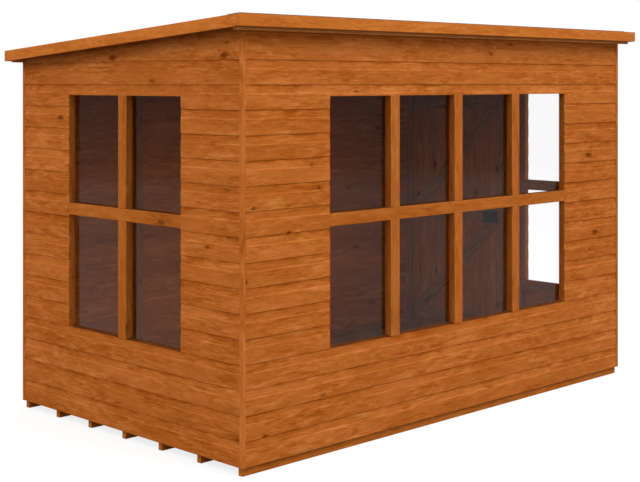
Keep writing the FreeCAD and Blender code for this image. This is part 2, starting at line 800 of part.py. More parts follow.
# Rim lock on the middle ledge, its striking plate on the door post, and the pull handle outside
def lock_and_handle():
    near = f"({DOORWAY_NEAR} + lock_inset)"
    levels = (f"{LOCK_LEVEL} - lock_height / 2", f"{LOCK_LEVEL} + lock_height / 2")
    case = block(
        "lock_case",
        (LEDGE_BACK + " - lock_thick", LEDGE_BACK),
        (near, near + " + lock_width"),
        levels,
    )
    label(case, "door_lock")
    keep_y = (DOORWAY_NEAR, DOORWAY_NEAR + " + keep_thick")
    plate = block("keep_plate", (INSIDE_X, FRAME_X), keep_y, levels)
    slot = block(
        "keep_slot",
        (f"{INSIDE_X} + keep_margin", f"{FRAME_X} - keep_margin"),
        keep_y,
        (f"{LOCK_LEVEL} - keep_margin", f"{LOCK_LEVEL} + keep_margin"),
    )
    label(cut("keep", plate, slot), "door_lock_keep")

    y = f"({DOOR_NEAR} + handle_inset)"
    low = f"({LOCK_LEVEL} + handle_rise)"
    high = f"({low} + handle_height)"
    face = f"({DOOR_FACE} + handle_plate_thick)"
    bar_x = f"({DOOR_FACE} + handle_reach)"
    grip_height = "handle_height - 2 * handle_bend"
    plate = block(
        "handle_plate",
        (DOOR_FACE, face),
        (f"{y} - handle_plate_width / 2", f"{y} + handle_plate_width / 2"),
        (f"{LOCK_LEVEL} - handle_plate_width / 2", f"{high} + handle_plate_width / 2"),
    )
    pieces = [
        plate,
        rod("grip", "handle_radius", grip_height, bar_x, y, f"{low} + handle_bend"),
    ]
    for name, level, centre, first in (
        ("lower", low, f"({low} + handle_bend)", 270),
        ("upper", high, f"({high} - handle_bend)", 0),
    ):
        leg = rod(
            f"{name}_leg", "handle_radius", span(face, f"{bar_x} - handle_bend"), face, y, level
        )
        leg.Placement.Rotation = FreeCAD.Rotation(FreeCAD.Vector(0, 1, 0), 90)
        elbow = doc.addObject("Part::Torus", name + "_elbow")
        bind(elbow, Radius1="handle_bend", Radius2="handle_radius", Angle3="90")
        place(elbow, f"{bar_x} - handle_bend", y, centre)
        # The torus turns about its own Z, which is laid along -Y here, so that its turn runs up
        lay = FreeCAD.Rotation(FreeCAD.Vector(1, 0, 0), 90)
        elbow.Placement.Rotation = lay.multiply(FreeCAD.Rotation(UP, first))
        pieces += [leg, elbow]
    keyhole = rod("keyhole", "keyhole_radius", "handle_plate_thick", DOOR_FACE, y, LOCK_LEVEL)
    keyhole.Placement.Rotation = FreeCAD.Rotation(FreeCAD.Vector(0, 1, 0), 90)
    label(cut("pull", fuse("pull_blank", pieces), keyhole), "door_handle")


floor()
cladding()
corner_strips()
front_frame()
back_frame()
left_frame()
right_frame()
roof()
front_corner = minus(lining_half(FRONT_COLUMNS))
window("front", FRONT_COLUMNS, "pane_width", front_corner, minus(CLAD_Y), 0)
window("left", LEFT_COLUMNS, "pane_width", minus(CLAD_X), lining_half(LEFT_COLUMNS), -90)
window("right", RIGHT_COLUMNS, RIGHT_PANE_WIDTH, CLAD_X, RIGHT_WINDOW_NEAR, 90)
door()
hinges()
lock_and_handle()

doc.recompute()
for item in doc.Objects:
    if "Invalid" in item.State or "Error" in item.State:
        raise RuntimeError(f"{item.Name} failed: {item.State}")
os.makedirs("parts", exist_ok=True)
for item in nodes:
    if item.Shape.isNull() or not item.Shape.isValid():
        raise RuntimeError(f"{item.Label} has no valid shape")
    item.Shape.exportStep(f"parts/{item.Label}.step")
    print(item.Label, len(item.Shape.Solids), round(item.Shape.Volume / 1e6, 3), "litres")
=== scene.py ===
# %% [markdown]
# # Dressing a garden shed
#
# The imported model gives every timber of the shed its size and place. In this lesson Blender gives each of
# them what a camera sees: real boards in place of plain sheets, rounded arrises, wood grain that runs the
# right way, glass, iron and felt. Lengths are in metres. +X is along the front wall, +Y to the back, +Z up.
#
# The frame comes first, because every piece is placed against it.

# %% Load the frame
import math
import random
from functools import partial

import bmesh
import bpy
from mathutils import Matrix, Vector


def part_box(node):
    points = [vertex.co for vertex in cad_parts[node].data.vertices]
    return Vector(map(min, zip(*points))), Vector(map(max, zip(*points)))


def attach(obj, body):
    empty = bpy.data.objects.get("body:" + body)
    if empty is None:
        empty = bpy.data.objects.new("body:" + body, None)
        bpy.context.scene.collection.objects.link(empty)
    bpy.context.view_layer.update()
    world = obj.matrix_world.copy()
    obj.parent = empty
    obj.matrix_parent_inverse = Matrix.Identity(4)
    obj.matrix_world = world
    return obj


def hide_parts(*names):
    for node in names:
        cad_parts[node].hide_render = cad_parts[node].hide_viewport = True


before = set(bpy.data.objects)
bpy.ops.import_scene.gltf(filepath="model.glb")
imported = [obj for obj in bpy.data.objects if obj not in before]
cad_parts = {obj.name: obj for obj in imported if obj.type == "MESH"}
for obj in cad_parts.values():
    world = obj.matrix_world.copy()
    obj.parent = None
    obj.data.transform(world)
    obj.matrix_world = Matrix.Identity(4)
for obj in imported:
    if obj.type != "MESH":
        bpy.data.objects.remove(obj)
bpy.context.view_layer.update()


def new_object(name, data):
    """An object in the scene."""
    made = bpy.data.objects.new(name, data)
    bpy.context.scene.collection.objects.link(made)
    return made


# %% [markdown]
# ## The camera
#
# Upright edges stay upright in the picture, so the camera is level, and the shed is brought down into the
# frame by shifting the lens and not by tilting. The long lens keeps the two walls nearly as wide as they are.

# %% Camera
FRAME_WIDTH = 640
FRAME_HEIGHT = 482
FOCAL_PIXELS = 1313.2
HORIZON_ROW = 82.5
SENSOR = 36.0
STANDS_AT = (-5.3247, -5.2604, 1.7469)
HEADING = -44.61

camera_data = bpy.data.cameras.new("camera")
camera_data.sensor_width = SENSOR
camera_data.lens = SENSOR * FOCAL_PIXELS / FRAME_WIDTH
camera_data.shift_y = (HORIZON_ROW - FRAME_HEIGHT / 2) / FRAME_WIDTH
camera = new_object("camera", camera_data)
camera.location = STANDS_AT
camera.rotation_euler = (math.radians(90), 0, math.radians(HEADING))
bpy.context.scene.camera = camera
bpy.context.scene.view_settings.view_transform = "Standard"
print("lens", round(camera_data.lens, 2), "mm, shift", round(camera_data.shift_y, 4))

# %% [markdown]
# ## Shader trees in a few lines
#
# A material is a tree of nodes. Two helpers keep the trees short: one adds a node and fills its sockets with
# numbers or with wires from other nodes, and one does the same for sums. The rest wrap nodes that come back.


# %% Helpers for shader trees
def feed(tree, socket, value):
    """Wire a socket, or set its number or colour."""
    if isinstance(value, bpy.types.NodeSocket):
        tree.links.new(value, socket)
    else:
        socket.default_value = value


def add(tree, kind, sockets=None, **settings):
    """A new node with its settings made and its sockets fed."""
    made = tree.nodes.new("ShaderNode" + kind)
    for name, value in settings.items():
        setattr(made, name, value)
    for key, value in (sockets or {}).items():
        feed(tree, made.inputs[key], value)
    return made


def calc(tree, operation, *values):
    """The result of a sum, as a wire."""
    made = add(tree, "Math", operation=operation)
    for socket, value in zip(made.inputs, values):
        feed(tree, socket, value)
    return made.outputs[0]


def ramp(tree, value, low, high, out_low=0.0, out_high=1.0):
    """A smooth step from one number to another as value goes from low to high."""
    sockets = {"Value": value, "From Min": low, "From Max": high, "To Min": out_low, "To Max": out_high}
    return add(tree, "MapRange", sockets, interpolation_type="SMOOTHSTEP").outputs[0]


# A Mix node keeps its colour sockets at these places.
COLOUR_A, COLOUR_B, COLOUR_OUT = 6, 7, 2


def blend_colours(tree, factor, first, second, mode="MIX"):
    """From the first colour to the second as the factor goes from 0 to 1."""
    sockets = {0: factor, COLOUR_A: first, COLOUR_B: second}
    return add(tree, "Mix", sockets, data_type="RGBA", blend_type=mode).outputs[COLOUR_OUT]


def stretched(tree, vector, cells):
    """The coordinates of a pattern with so many cells per metre along each axis."""
    return add(tree, "VectorMath", {0: vector, 1: cells}, operation="MULTIPLY").outputs[0]


def noise(tree, vector, cells, detail=2.0, curl=0.0):
    """Soft noise with so many cells per metre along each axis."""
    sockets = {"Vector": stretched(tree, vector, cells), "Scale": 1.0, "Detail": detail, "Distortion": curl}
    return add(tree, "TexNoise", sockets).outputs[0]


def new_material(name, **numbers):
    """A material with only its output and a Principled shader, and some of its inputs set."""
    material = bpy.data.materials.new(name)
    material.use_nodes = True
    tree = material.node_tree
    shader = next(n for n in tree.nodes if n.type == "BSDF_PRINCIPLED")
    output = next(n for n in tree.nodes if n.type == "OUTPUT_MATERIAL")
    for key, value in numbers.items():
        shader.inputs[key.replace("_", " ")].default_value = value
    return material, tree, shader, output


def paint(tree, shader, factor, first, second):
    """Two colours, mixed by a pattern."""
    feed(tree, shader.inputs["Base Color"], blend_colours(tree, factor, first, second))


def bump(tree, shader, strength, distance, height):
    """Relief on a finish, without moving its surface."""
    relief = add(tree, "Bump", {"Strength": strength, "Distance": distance, "Height": height})
    feed(tree, shader.inputs["Normal"], relief.outputs[0])


print("helpers ready")

# %% [markdown]
# ## Floor, background and light
#
# The shed stands in a plain bright studio. The camera sees a white world and a nearly white floor, and so do
# glass and gloss. The light on the shed comes from a softer sky and two lamps, so that a stained board
# renders as dark as it is. The floor gives back little of it, so the undersides of the eaves stay dark.
#
# A pane also mirrors the floor in front of it, and that pale veil is most of what is seen of the glass. A
# real studio's paper ends some way off, and less of it lies beside the shed than in front. So for every ray
# but the camera's own, the floor before the two seen walls fades with its distance, and towards the side. The
# upper panes, which mirror the far floor, then come out clearer than the lower ones.

# %% Floor
FLOOR_REACH = 400
FLOOR_DARK, FLOOR_PALE = (0.12, 0.115, 0.11, 1), (0.95, 0.95, 0.95, 1)
SEEN_WHITE = 0.8
# Where a fade starts and ends, in metres, and how bright the floor is at either end.
FAR_FADE = (15.0, 21.0, 1.0, 0.35)
SIDE_FADE = (-4.0, -1.0, 0.4, 0.88)
# The fades end behind the shed's middle and its right end.
THIS_SIDE = (-0.5, 0.5, 1.0, 0.0)


def seen(tree):
    """1 for rays that show the background: from the camera, or through gloss or glass."""
    path = add(tree, "LightPath").outputs
    first = calc(tree, "MAXIMUM", path["Is Camera Ray"], path["Is Glossy Ray"])
    return calc(tree, "MAXIMUM", first, path["Is Transmission Ray"])


floor_paint, tree, shader, output = new_material("studio_floor", Roughness=0.9, Specular_IOR_Level=0.0)
place = add(tree, "TexCoord").outputs["Object"]
distance = add(tree, "VectorMath", {0: place}, operation="LENGTH").outputs["Value"]
x, y, _ = add(tree, "SeparateXYZ", {0: place}).outputs
reflected = calc(tree, "SUBTRACT", 1.0, add(tree, "LightPath").outputs["Is Camera Ray"])
this_side = ramp(tree, calc(tree, "MINIMUM", x, y), *THIS_SIDE)
bright = calc(tree, "MULTIPLY", ramp(tree, distance, *FAR_FADE), ramp(tree, x, *SIDE_FADE))
faded = calc(tree, "MULTIPLY", reflected, this_side)
dim = calc(tree, "MULTIPLY", faded, calc(tree, "SUBTRACT", 1.0, bright))
shown = calc(tree, "MULTIPLY", seen(tree), calc(tree, "SUBTRACT", 1.0, dim))
paint(tree, shader, shown, FLOOR_DARK, FLOOR_PALE)
glow = add(tree, "Emission", {"Color": (1, 1, 1, 1), "Strength": 1.0})
share = calc(tree, "MULTIPLY", shown, SEEN_WHITE)
both = add(tree, "MixShader", {0: share, 1: shader.outputs[0], 2: glow.outputs[0]})
tree.links.new(both.outputs[0], output.inputs["Surface"])

bm = bmesh.new()
bmesh.ops.create_grid(bm, x_segments=1, y_segments=1, size=FLOOR_REACH)
floor_mesh = bpy.data.meshes.new("studio_floor")
bm.to_mesh(floor_mesh)
bm.free()
floor_mesh.materials.append(floor_paint)
studio_floor = new_object("studio_floor", floor_mesh)
print("floor laid")

# %% [markdown]
# One square lamp stands high and far off in front of the front wall and the other beside the left wall. Each
# lights its own wall squarely and only grazes the sides of the window bars, so those stay in shade and show
# how deep the panes sit. Their height sets how far the shade of the eaves comes down the boards.

# %% World and lamps
SKY_STRENGTH = 1.22
SKY_COLOUR = (1.0, 0.985, 0.96, 1)
# Each lamp's strength where it lights the shed, its width, and where it stands.
LAMPS = {
    "front_lamp": (1.7, 5.0, (1.2, -7.6, 11.6)),
    "side_lamp": (0.84, 4.0, (-9.8, 1.0, 9.0)),
}
LIT_POINT = Vector((0, 0, 1.0))

world = bpy.data.worlds.new("studio")
bpy.context.scene.world = world
world.use_nodes = True
tree = world.node_tree
tree.nodes.clear()
sky = add(tree, "Background", {"Color": SKY_COLOUR, "Strength": SKY_STRENGTH})
white = add(tree, "Background", {"Color": (1, 1, 1, 1), "Strength": 1.0})
both = add(tree, "MixShader", {0: seen(tree), 1: sky.outputs[0], 2: white.outputs[0]})
add(tree, "OutputWorld", {"Surface": both.outputs[0]})

for name, (strength, width, stands_at) in LAMPS.items():
    away = Vector(stands_at) - LIT_POINT
    lamp_data = bpy.data.lights.new(name, "AREA")
    lamp_data.energy = strength * math.pi * away.length_squared
    lamp_data.size = width
    lamp = new_object(name, lamp_data)
    lamp.location = stands_at
    lamp.rotation_euler = away.to_track_quat("Z", "Y").to_euler()
    print(name, strength)

# %% [markdown]
# ## Wood, as a solid pattern
#
# A tree grows in rings, and a board is a thin slice through them. The group below works in the board's own
# coordinates: along the grain, across the face, and into the depth. Rings round a line behind the face give
# long arches on the face and curves on the cut ends. Knots stand on cells, and the rings swell round them.
# Fine fibres, longer streaks and soft clouds lie over that, and pale flecks where the wood took less stain.
#
# All of this adds up to one number, how dark the wood is, and that picks a colour between a pale and a deep
# one. The two are mixed as the eye sees them, because equal steps of stain look equal.
#
# Each timber brings three numbers of its own, kept on its mesh: grain (where a point is in the tree), tone
# (how dark this board came out) and arris. Arris is 1 on the small faces that round an edge, which come out
# paler, partly as stain rubbed thin and partly as a painted highlight. It is below 0 in the grooves, as
# painted shade between the boards, and -2 on the tops of sills, bars and beads, which are painted in shade.


# %% The wood group
RINGS_PER_METRE = 170.0
PITH_DEPTH = 0.045
EYE = 2.2
MIDDLE = 0.4
# The tops of sills, bars and beads carry this mark and are multiplied by the colour below: painted shade.
TOP_SHADE = -2.0
TOP_SHADE_SHARE = (0.3, 0.3, 0.3, 1)
COLOURS = ("Pale", "Pale olive", "Deep", "Knot", "Fleck")
# Cells per metre along, across and into the board.
KNOT_CELLS = (4.5, 10, 10)
RAGGED = (60, 90, 90)
WANDER = (1.6, 6, 6)
FIBRE = (14, 330, 330)
STREAK = (12, 75, 75)
FLOW = (7, 30, 30)
WASH = (1.6, 9, 9)
BUSY = (2.6, 12, 12)
DASH = (9, 110, 110)
PATCHY = (7, 7, 7)
GREENISH = (6, 24, 24)
FLECK = (13, 110, 110)
ELSEWHERE = (7, 3, 11)


def wood_group():
    """The node group that turns a timber's marks and colours into its look."""
    tree = bpy.data.node_groups.new("wood", "ShaderNodeTree")
    helpers = (calc, ramp, blend_colours, noise)
    do, step, blend, pattern = (partial(helper, tree) for helper in helpers)
    for way, kind, names in (
        ("INPUT", "Vector", ("Grain",)),
        ("INPUT", "Float", ("Tone", "Arris")),
        ("INPUT", "Color", COLOURS),
        ("INPUT", "Float", ("Knot share", "Figure")),
        ("OUTPUT", "Color", ("Colour",)),
        ("OUTPUT", "Float", ("Height", "Roughness")),
    ):
        for name in names:
            tree.interface.new_socket(name=name, in_out=way, socket_type="NodeSocket" + kind)
    given = tree.nodes.new("NodeGroupInput").outputs
    result = tree.nodes.new("NodeGroupOutput").inputs
    grain = given["Grain"]
    along, across, deep = add(tree, "SeparateXYZ", {0: grain}).outputs

    cells = stretched(tree, grain, KNOT_CELLS)
    knots = add(tree, "TexVoronoi", {"Vector": cells, "Scale": 1.0, "Randomness": 0.9})
    chance = add(tree, "SeparateColor", {0: knots.outputs["Color"]}).outputs
    present = do("LESS_THAN", chance[0], given["Knot share"])
    size = do("MULTIPLY_ADD", chance[1], 0.11, 0.05)
    ragged = do("MULTIPLY_ADD", pattern(grain, RAGGED), 1.2, 0.4)
    reach = do("MULTIPLY", do("DIVIDE", knots.outputs["Distance"], size), ragged)
    halo = do("MULTIPLY", step(reach, 4.5, 0.8), present)
    core = do("MULTIPLY", step(reach, 1.3, 0.4), present)

    wander = do("SUBTRACT", pattern(grain, WANDER), 0.5)
    side = do("MULTIPLY_ADD", wander, 0.08, across)
    drift = do("SINE", do("MULTIPLY", along, 2.3))
    back = do("ADD", do("MULTIPLY_ADD", drift, 0.012, PITH_DEPTH), deep)
    squares = do("ADD", do("MULTIPLY", side, side), do("MULTIPLY", back, back))
    radius = do("SQRT", squares)
    turns = do("MULTIPLY_ADD", radius, RINGS_PER_METRE, do("MULTIPLY", halo, 2.8))
    ring = do("POWER", do("FRACT", turns), 2.5)

    fibre = pattern(grain, FIBRE)
    streak = pattern(grain, STREAK, 3, 1.1)
    flow = pattern(grain, FLOW, 3, 1.0)
    wash = pattern(grain, WASH)
    busy = step(pattern(grain, BUSY), 0.36, 0.64, 0.5, 1.5)
    swirl = do("MULTIPLY_ADD", halo, 0.6, 0.14)
    dark = do("MULTIPLY_ADD", ring, swirl, 0.34)
    for part, weight in ((fibre, 0.15), (streak, 0.9), (flow, 1.15)):
        swing = do("MULTIPLY", do("SUBTRACT", part, 0.5), busy)
        dark = do("MULTIPLY_ADD", swing, weight, dark)
    dark = do("MULTIPLY_ADD", do("SUBTRACT", wash, 0.5), 0.8, dark)
    dash = step(pattern(grain, DASH, 2, 0.6), 0.6, 0.76, 0.0, 0.36)
    dark = do("ADD", dark, dash)
    dark = do("MULTIPLY_ADD", halo, -0.04, dark)
    dark = do("MULTIPLY", do("SUBTRACT", dark, MIDDLE), given["Figure"])
    dark = do("ADD", dark, MIDDLE)
    dark = do("MULTIPLY_ADD", do("SUBTRACT", given["Tone"], 0.5), 0.14, dark)
    patchy = step(pattern(grain, PATCHY, 3), 0.38, 0.62, 0.1, 1.7)
    # Arris above 0 makes rounded edges paler, partly worn stain and partly a painted highlight; below 0 it
    # paints shade in the grooves and on the tops.
    wear_and_painted_light = do("MULTIPLY", do("MAXIMUM", given["Arris"], -1.0), patchy)
    dark = do("MULTIPLY_ADD", wear_and_painted_light, -0.25, dark)
    held = add(tree, "Clamp", {0: dark}).outputs[0]
    shift = add(tree, "VectorMath", {0: grain, 1: ELSEWHERE}, operation="ADD").outputs[0]
    green = step(pattern(shift, GREENISH, 2, 0.5), 0.5, 0.72, 0.0, 0.8)
    green = do("MAXIMUM", green, do("MULTIPLY", halo, 0.3))
    pale = blend(green, given["Pale"], given["Pale olive"])
    light = add(tree, "Gamma", {"Color": pale, "Gamma": 1 / EYE}).outputs[0]
    dim = add(tree, "Gamma", {"Color": given["Deep"], "Gamma": 1 / EYE}).outputs[0]
    colour = add(tree, "Gamma", {"Color": blend(held, light, dim), "Gamma": EYE}).outputs[0]
    fleck = step(pattern(shift, FLECK, 2, 0.8), 0.55, 0.78, 0.0, 0.3)
    colour = blend(fleck, colour, given["Fleck"])
    colour = blend(core, colour, given["Knot"])
    # The tops of sills, bars and beads are painted in shade: their colour is multiplied darker.
    shaded_top = step(given["Arris"], TOP_SHADE, 0.6 * TOP_SHADE, 1.0, 0.0)
    feed(tree, result["Colour"], blend(shaded_top, colour, TOP_SHADE_SHARE, "MULTIPLY"))
    height = do("MULTIPLY_ADD", ring, 0.35, do("MULTIPLY", fibre, 0.6))
    feed(tree, result["Height"], do("MULTIPLY_ADD", core, 0.4, height))
    feed(tree, result["Roughness"], do("MULTIPLY_ADD", fibre, 0.25, 0.5))
    return tree


wood = wood_group()
print("wood group with", len(wood.nodes), "nodes")

# %% [markdown]
# ## Finishes
#
# The same wood group serves every timber, with its own colours: planed and stained boards and trim outside,
# sawn framing inside, and paler boards underfoot and in the roof. Each finish gives the share of cells with a
# knot, how strong its figure and its relief are and how much it shines. Then come its colours: pale, greenish
# pale, deep, knot and fleck.


# %% Wood finishes
WOOD_RELIEF = 0.0006


def wood_finish(name, knot_share, figure, relief, gloss, *colours):
    """A timber's material, which reads the marks on its mesh."""
    material, tree, shader, _ = new_material(name, Specular_IOR_Level=gloss)
    group = tree.nodes.new("ShaderNodeGroup")
    group.node_tree = wood
    for socket, output in (("Grain", "Vector"), ("Tone", "Fac"), ("Arris", "Fac")):
        source = add(tree, "Attribute", attribute_name=socket.lower())
        tree.links.new(source.outputs[output], group.inputs[socket])
    for socket, colour in zip(COLOURS, colours):
        group.inputs[socket].default_value = (*colour, 1)
    group.inputs["Knot share"].default_value = knot_share
    group.inputs["Figure"].default_value = figure
    feed(tree, shader.inputs["Base Color"], group.outputs["Colour"])
    feed(tree, shader.inputs["Roughness"], group.outputs["Roughness"])
    bump(tree, shader, relief, WOOD_RELIEF, group.outputs["Height"])
    return material


WOODS = {
    "stained_boards": (
        0.6, 0.74, 0.5, 0.03, (0.58, 0.181, 0.044), (0.53, 0.196, 0.04),
        (0.25, 0.046, 0.0006), (0.17, 0.033, 0.001), (0.64, 0.27, 0.1),
    ),
    "stained_trim": (
        0.15, 0.8, 0.4, 0.05, (0.5, 0.15, 0.023), (0.47, 0.163, 0.023),
        (0.26, 0.055, 0.003), (0.17, 0.047, 0.004), (0.62, 0.28, 0.11),
    ),
    "fascia_trim": (
        0.2, 0.8, 0.4, 0.05, (0.6, 0.185, 0.03), (0.56, 0.2, 0.03),
        (0.34, 0.074, 0.005), (0.2, 0.058, 0.006), (0.7, 0.33, 0.13),
    ),
    # Paler than the trim: painted light on battens that sit in the shade of the fascia.
    "eaves_battens_painted_light": (
        0.2, 0.8, 0.4, 0.05, (0.74, 0.3, 0.085), (0.7, 0.31, 0.085),
        (0.5, 0.16, 0.03), (0.3, 0.09, 0.015), (0.8, 0.42, 0.18),
    ),
    "frame_timber": (
        0.3, 1.0, 0.9, 0.05, (0.44, 0.165, 0.045), (0.4, 0.17, 0.042),
        (0.19, 0.055, 0.011), (0.1, 0.028, 0.006), (0.52, 0.24, 0.085),
    ),
    "floor_timber": (
        0.3, 1.0, 0.5, 0.05, (0.5, 0.25, 0.1), (0.48, 0.26, 0.11),
        (0.28, 0.12, 0.04), (0.15, 0.05, 0.014), (0.58, 0.34, 0.16),
    ),
    "roof_boards": (
        0.3, 1.0, 0.8, 0.05, (0.6, 0.3, 0.12), (0.57, 0.31, 0.12),
        (0.34, 0.14, 0.045), (0.16, 0.055, 0.015), (0.68, 0.4, 0.19),
    ),
}
FINISHES = {name: wood_finish(name, *given) for name, given in WOODS.items()}
print("wood finishes:", ", ".join(FINISHES))

# %% [markdown]
# Glass is left to the shader: a clear pane that bends light a little. A pane this thin hardly mirrors
# anything against a bright studio, so its index is low. Real glass also lets lamplight into the room, which a
# bent ray finds only by luck, so lamp rays pass straight through a Transparent shader.
#
# The ironwork is black paint over steel with a slight orange-peel bump. The felt is covered in mineral grit,
# and the nails that hold it are zinc-coated.

# %% Glass, iron, zinc and felt
GLASS_TINT, PASSED_LIGHT = (0.97, 0.965, 0.975, 1), (0.92, 0.92, 0.92, 1)
GLASS_INDEX = 1.17
IRON_DARK, IRON_WORN = (0.011, 0.011, 0.012, 1), (0.035, 0.032, 0.03, 1)
FELT_DARK, FELT_PALE = (0.028, 0.03, 0.03, 1), (0.13, 0.13, 0.125, 1)
ZINC_DULL, ZINC_BRIGHT = (0.32, 0.31, 0.3, 1), (0.62, 0.61, 0.59, 1)
# Cells per metre.
PEEL = (420, 420, 420)
WEAR = (38, 38, 38)
GRIT = (650, 650, 650)
PATCH = (3, 3, 3)
BLOOM = (260, 260, 260)

glass, tree, shader, output = new_material(
    "window_glass", Base_Color=GLASS_TINT, Roughness=0.0, IOR=GLASS_INDEX, Transmission_Weight=1.0,
)
path = add(tree, "LightPath").outputs
lamp_ray = calc(tree, "MAXIMUM", path["Is Shadow Ray"], path["Is Diffuse Ray"])
through = add(tree, "BsdfTransparent", {"Color": PASSED_LIGHT})
both = add(tree, "MixShader", {0: lamp_ray, 1: shader.outputs[0], 2: through.outputs[0]})
tree.links.new(both.outputs[0], output.inputs["Surface"])
FINISHES["window_glass"] = glass

iron, tree, shader, _ = new_material("black_iron")
place = add(tree, "TexCoord").outputs["Object"]
wear = noise(tree, place, WEAR, 4)
paint(tree, shader, ramp(tree, wear, 0.58, 0.75), IRON_DARK, IRON_WORN)
feed(tree, shader.inputs["Roughness"], calc(tree, "MULTIPLY_ADD", wear, 0.25, 0.3))
bump(tree, shader, 0.35, 0.0004, noise(tree, place, PEEL))
FINISHES["black_iron"] = iron

felt, tree, shader, _ = new_material("roof_felt", Roughness=0.92, Specular_IOR_Level=0.2)
place = add(tree, "TexCoord").outputs["Object"]
grit = add(tree, "TexVoronoi", {"Vector": stretched(tree, place, GRIT), "Scale": 1.0})
speck = add(tree, "SeparateColor", {0: grit.outputs["Color"]}).outputs[0]
patch = calc(tree, "SUBTRACT", noise(tree, place, PATCH, 4), 0.5)
shade = calc(tree, "MULTIPLY_ADD", patch, 0.8, speck)
paint(tree, shader, shade, FELT_DARK, FELT_PALE)
bump(tree, shader, 0.8, 0.0012, grit.outputs["Distance"])
FINISHES["roof_felt"] = felt

zinc, tree, shader, _ = new_material("zinc_nails", Metallic=1.0)
bloom = noise(tree, add(tree, "TexCoord").outputs["Object"], BLOOM, 3)
paint(tree, shader, bloom, ZINC_DULL, ZINC_BRIGHT)
feed(tree, shader.inputs["Roughness"], calc(tree, "MULTIPLY_ADD", bloom, 0.3, 0.3))
print("other finishes:", glass.name, iron.name, felt.name, zinc.name)

# %% [markdown]
# ## Marking the timber
#
# Before a mesh leaves bmesh it gets the three marks of the wood group. Loose parts are found by walking from
# vertex to vertex. Each one is a timber of its own: it gets a random stretch of the tree, and the grain
# follows its longest side unless the maker says otherwise. Small bead rings take the grain face by face
# instead, so that it turns at the mitres.

# %% Loose parts and marks
chance = random.Random(7)
MM = 0.001
# How far up, to the side and deep in the tree a timber may come from, in metres.
FROM_THE_TREE = ((0, 40), (-0.03, 0.03), (-0.008, 0.02))


def loose_parts(bm):
    """The sets of vertices that hang together, in the order of the mesh."""
    bm.verts.index_update()
    parts, found = [], set()
    for start in bm.verts:
        if start in found:
            continue
        part = [start]
        found.add(start)
        for vert in part:
            others = {edge.other_vert(vert) for edge in vert.link_edges} - found
            found |= others
            part += others
        parts.append(part)
    return parts


def box_of(points):
    """The lowest and the highest corner round some points."""
    low = Vector([min(p[axis] for p in points) for axis in range(3)])
    high = Vector([max(p[axis] for p in points) for axis in range(3)])
    return low, high


def longest(points):
    """The axis along which some points reach furthest."""
    low, high = box_of(points)
    return max(range(3), key=lambda axis: high[axis] - low[axis])


def mark(bm, along=None, by_face=False):
    """Give each loose part its place in a tree and its tone."""
    grain = bm.loops.layers.float_vector.new("grain")
    tone = bm.faces.layers.float.new("tone")
    for part in loose_parts(bm):
        points = [v.co for v in part]
        low, high = box_of(points)
        centre = (low + high) / 2
        axis = longest(points) if along is None else along
        shift = Vector([chance.uniform(*reach) for reach in FROM_THE_TREE])
        shade = chance.random()
        for face in {f for v in part for f in v.link_faces}:
            face[tone] = shade
            if by_face:
                axis = longest([v.co for v in face.verts])
            first, second = [i for i in range(3) if i != axis]
            if high[first] - low[first] < high[second] - low[second]:
                first, second = second, first
            for loop in face.loops:
                point = loop.vert.co - centre
                loop[grain] = shift + Vector((point[axis], point[first], point[second]))


def arris_layer(bm):
    """The mesh's mark for arrises, painted highlights and painted shade, made where it is missing."""
    return bm.faces.layers.float.get("arris") or bm.faces.layers.float.new("arris")


print("marks ready")

# %% [markdown]
# Sawn and planed timber never has a knife edge. The bevel below finds the edges where two faces meet at an
# angle, rounds them by a millimetre or two, and marks the new faces as arris. The same call then serves a
# plank that starts as a cube and a copy of a packed timber. A piece that keeps its shape is only repainted.


# %% Rounding, planks and copies
SHARP = math.radians(30)
FLAT = math.radians(0.5)


def round_arrises(bm, radius, geometry=None, segments=2, wear_and_painted_light=1.0):
    """Bevel the sharp edges of a mesh, or of a part of it, and mark the new faces."""
    edges = geometry if geometry is not None else bm.edges
    sharp = [e for e in edges if len(e.link_faces) == 2 and e.calc_face_angle() > SHARP]
    arris = arris_layer(bm)
    made = bmesh.ops.bevel(
        bm, geom=sharp, offset=radius, offset_type="OFFSET", segments=segments, profile=0.5,
        affect="EDGES", material=-1, clamp_overlap=True,
    )
    for face in made["faces"]:
        face[arris] = wear_and_painted_light
        face.smooth = True


def plank(bm, low, high, radius=0.0):
    """A squared timber between two corners. The corners it gives back are gone if it is rounded."""
    low, high = Vector(low), Vector(high)
    verts = bmesh.ops.create_cube(bm, size=1.0)["verts"]
    bmesh.ops.scale(bm, vec=high - low, verts=verts)
    bmesh.ops.translate(bm, vec=(low + high) / 2, verts=verts)
    if radius:
        round_arrises(bm, radius, list({e for v in verts for e in v.link_edges}))
    return verts


def copy_of(node):
    """A packed timber's mesh, welded, and without the diagonals of its triangles."""
    bm = bmesh.new()
    bm.from_mesh(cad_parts[node].data)
    for layers in (bm.loops.layers.uv, bm.loops.layers.float_vector):
        for layer in list(layers.values()):
            layers.remove(layer)
    bmesh.ops.remove_doubles(bm, verts=bm.verts, dist=0.02 * MM)
    bmesh.ops.dissolve_limit(bm, angle_limit=FLAT, verts=bm.verts, edges=bm.edges)
    return bm


def solids_of(node):
    """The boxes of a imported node's separate solids."""
    bm = copy_of(node)
    boxes = [box_of([v.co for v in part]) for part in loose_parts(bm)]
    bm.free()
    return boxes


def finish_piece(bm, name, slot, body, nodes=(), material=None):
    """Turn a bmesh into a piece of the shed that rides on a body."""
    mesh = bpy.data.meshes.new(name)
    bm.normal_update()
    bm.to_mesh(mesh)
    bm.free()
    mesh.materials.append(material or FINISHES[slot])
    piece = new_object(name, mesh)
    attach(piece, body)
    if nodes:
        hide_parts(*nodes)
    print(name, len(mesh.polygons), "faces")
    return piece


def repaint(node, material):
    """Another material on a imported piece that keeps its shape."""
    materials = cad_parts[node].data.materials
    materials.clear()
    materials.append(material)


print("bearers:", len(solids_of("floor_bearers")), "panes:", len(solids_of("front_window_glass")))
